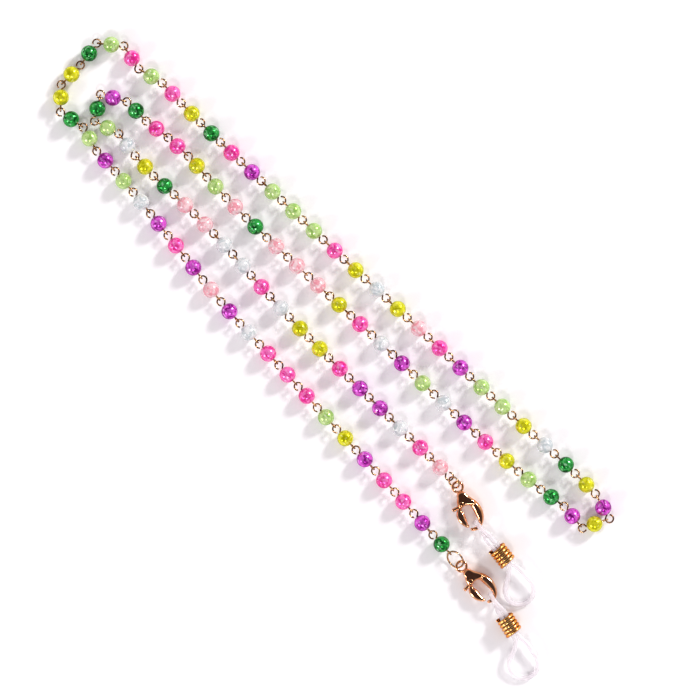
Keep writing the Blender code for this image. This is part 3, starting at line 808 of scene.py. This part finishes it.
def half_cord(straight_to):
    """The middle line of one cord, from the clasp's bar over the top and out to the noose's tip."""
    points = []
    for k in range(WRAP_STEPS + 1):
        turn = math.radians(180 - 90 * k / WRAP_STEPS)
        points.append(Vector((WRAP_RADIUS * math.cos(turn), 0, WRAP_RADIUS * math.sin(turn))))
    for k in range(EASE_STEPS + 1):
        share = k / EASE_STEPS
        ease = share * share * (3 - 2 * share)
        x = LEVEL_OFF_X + (STRAIGHT_FROM_X - LEVEL_OFF_X) * share
        points.append(Vector((x, CORD_SPREAD * ease, WRAP_RADIUS * (1 - ease))))
    for share in (0.25, 0.5, 0.75, 1.0):
        x = STRAIGHT_FROM_X + (straight_to - STRAIGHT_FROM_X) * share
        points.append(Vector((x, CORD_SPREAD, 0)))
    centre_x = NOOSE_LENGTH - NOOSE_RADIUS
    slope = math.asin((NOOSE_RADIUS - CORD_SPREAD) / centre_x)
    touch = Vector((-math.sin(slope), math.cos(slope), 0)) * NOOSE_RADIUS
    noose = []
    for k in range(1, FLARE_STEPS):
        share = k / FLARE_STEPS
        noose.append(Vector((0, CORD_SPREAD, 0)).lerp(touch + Vector((centre_x, 0, 0)), share))
    for k in range(ARC_STEPS + 1):
        turn = (math.pi / 2 + slope) * (1 - k / ARC_STEPS)
        noose.append(
            Vector((centre_x + NOOSE_RADIUS * math.cos(turn), NOOSE_RADIUS * math.sin(turn), 0))
        )
    for point in noose:
        droop = NOOSE_DROOP * (point.x / NOOSE_LENGTH) ** 2
        points.append(point + Vector((straight_to, 0, -droop)))
    return points


def make_grip(end, clasp_world, clear, gold):
    """The elastic loop round the clasp's bar, and the coil round both of its cords."""
    bar = clasp_world @ Vector((*BAR_PLACE[end], BAR_LEVEL - LEVEL))
    world = frame_matrix(bar, GRIP_HEADING[end])
    straight_to = STRAIGHT_TO_X[end]
    over = half_cord(straight_to)
    under = [Vector((p.x, -p.y, -p.z if p.x < STRAIGHT_FROM_X else p.z)) for p in over]
    path = smooth_path([bend(p, GRIP_BEND[end], straight_to) for p in over + under[-2:0:-1]], 3, True)
    mesh = mesh_of(f"elastic_shape_{end}", [tube(path, CORD_RADIUS, CORD_SIDES, True)])
    shown = piece(f"elastic_{end}", mesh, world, clear, f"grip_{end}", 80)
    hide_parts(f"grip_loop_{end}")

    points = []
    for k in range(COIL_TURNS * COIL_STEPS + 1):
        turn = math.radians(COIL_FIRST_TURN) + 2 * math.pi * k / COIL_STEPS
        x = COIL_TURN_PITCH * (k / COIL_STEPS - COIL_TURNS / 2)
        points.append((x, COIL_RADIUS * math.cos(turn), COIL_RADIUS * math.sin(turn)))
    mesh = mesh_of(f"coil_shape_{end}", [tube(points, COIL_WIRE_RADIUS, COIL_SIDES)])
    coil_world = world @ Matrix.Translation((COIL_CENTRE_X[end], 0, COIL_RISE))
    shown = piece(f"coil_{end}", mesh, coil_world, gold, f"slider_{end}", 60)
    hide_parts(f"grip_coil_{end}")


# ---------------------------------------------------------------- the studio


VIEW_CENTRE = (5.01, 4.56)
VIEW_WIDTH = 175.0
CAMERA_HEIGHT = 1400.0
CAMERA_TURN = 45
SENSOR = 36.0
FLOOR_REACH = 3.0


def make_camera():
    """A long lens straight above, turned so that the strands run from top left to bottom right."""
    data = bpy.data.cameras.new("camera")
    data.sensor_width = SENSOR
    data.lens = SENSOR * (CAMERA_HEIGHT - LEVEL) / VIEW_WIDTH
    data.clip_start = 0.01
    data.clip_end = 20
    camera = bpy.data.objects.new("camera", data)
    bpy.context.scene.collection.objects.link(camera)
    camera.location = Vector((*VIEW_CENTRE, CAMERA_HEIGHT)) * MM
    camera.rotation_euler = (0, 0, math.radians(CAMERA_TURN))
    bpy.context.scene.camera = camera


# Each lamp: name, the direction it stands in as (x, y, z), strength, apparent size, colour.
LAMPS = (
    ("key", (0.04, 0.87, 0.49), 2.4, 11, (1.0, 1.0, 0.99)),
    ("left_soft", (-0.18, -0.86, 0.48), 0.95, 14, (1.0, 0.99, 1.0)),
    ("low_soft", (0.46, -0.41, 0.79), 0.70, 12, (1.0, 0.99, 1.0)),
)


def make_lamps():
    for name, place, strength, size, tint in LAMPS:
        data = bpy.data.lights.new(name, "SUN")
        data.energy = strength
        data.angle = math.radians(size)
        data.color = tint
        lamp = bpy.data.objects.new(name, data)
        bpy.context.scene.collection.objects.link(lamp)
        lamp.rotation_euler = Vector(place).to_track_quat("Z", "Y").to_euler()


def make_room():
    """A pale room. What polished things mirror is darker overhead, as under a studio's ceiling."""
    world = bpy.data.worlds.new("room")
    world.use_nodes = True
    nodes, links = world.node_tree.nodes, world.node_tree.links
    background = nodes["Background"]
    coordinates = nodes.new("ShaderNodeTexCoord")
    split = nodes.new("ShaderNodeSeparateXYZ")
    links.new(coordinates.outputs["Generated"], split.inputs["Vector"])
    ramp = nodes.new("ShaderNodeValToRGB")
    stops = ramp.color_ramp.elements
    stops[0].position, stops[0].color = 0.0, (0.85, 0.82, 0.85, 1)
    stops[1].position, stops[1].color = 1.0, (0.05, 0.04, 0.05, 1)
    for position, tone in ((0.35, (0.80, 0.76, 0.80, 1)), (0.62, (0.30, 0.27, 0.30, 1)),
                           (0.85, (0.07, 0.06, 0.07, 1))):  # fmt: skip
        stops.new(position).color = tone
    links.new(split.outputs["Z"], ramp.inputs["Fac"])
    path = nodes.new("ShaderNodeLightPath")
    seen = nodes.new("ShaderNodeMix")
    seen.data_type = "RGBA"
    seen.inputs[MIX_FIRST].default_value = (0.55, 0.51, 0.54, 1)
    seen.inputs[MIX_SECOND].default_value = (1.0, 1.0, 1.0, 1)
    links.new(path.outputs["Is Camera Ray"], seen.inputs[MIX_FACTOR])
    mirrored = nodes.new("ShaderNodeMix")
    mirrored.data_type = "RGBA"
    links.new(path.outputs["Is Glossy Ray"], mirrored.inputs[MIX_FACTOR])
    links.new(seen.outputs[MIX_RESULT], mirrored.inputs[MIX_FIRST])
    links.new(ramp.outputs["Color"], mirrored.inputs[MIX_SECOND])
    links.new(mirrored.outputs[MIX_RESULT], background.inputs["Color"])
    bpy.context.scene.world = world


def make_floor():
    sheet = bpy.data.meshes.new("floor")
    corners = [(x * FLOOR_REACH, y * FLOOR_REACH, 0) for x, y in ((-1, -1), (1, -1), (1, 1), (-1, 1))]
    sheet.from_pydata(corners, [], [(0, 1, 2, 3)])
    sheet.materials.append(floor_look())
    floor = bpy.data.objects.new("floor", sheet)
    bpy.context.scene.collection.objects.link(floor)


def main():
    make_camera()
    make_lamps()
    make_room()
    make_floor()
    bpy.context.scene.view_settings.view_transform = "Standard"

    looks = {letter: pearl_look(letter) for letter in PEARL_LOOKS}
    wire = metal_look("wire", (112, 70, 40), (30, 16, 8), (226, 180, 130), (0.10, 0.26), (1, 1, 1), 0.10)
    rose = metal_look(
        "rose_gold", (232, 156, 104), (120, 62, 34), (246, 190, 146), (0.05, 0.22), (0.4, 2, 2), 0.30
    )
    # the coil's gold is darkened between its turns: painted shade
    gold = metal_look(
        "coil_gold", (240, 158, 72), (150, 74, 22), (255, 208, 132), (0.10, 0.26), (1, 1, 1), 0.12,
        COIL_PAINTED_SHADE,
    )  # fmt: skip
    clear = clear_look()

    make_chain(looks, wire)
    starts = {
        "a": JOINTS[0] + heading_vector(LINK_HEADINGS[0]) * LOOP_SHIFT,
        "b": JOINTS[-1] + heading_vector(LINK_HEADINGS[-1]) * RING_HOLD,
    }
    for end, start in starts.items():
        eye_place = make_jump_ring(end, start, wire)
        clasp_world = make_clasp(end, eye_place, rose)
        make_grip(end, clasp_world, clear, gold)


main()
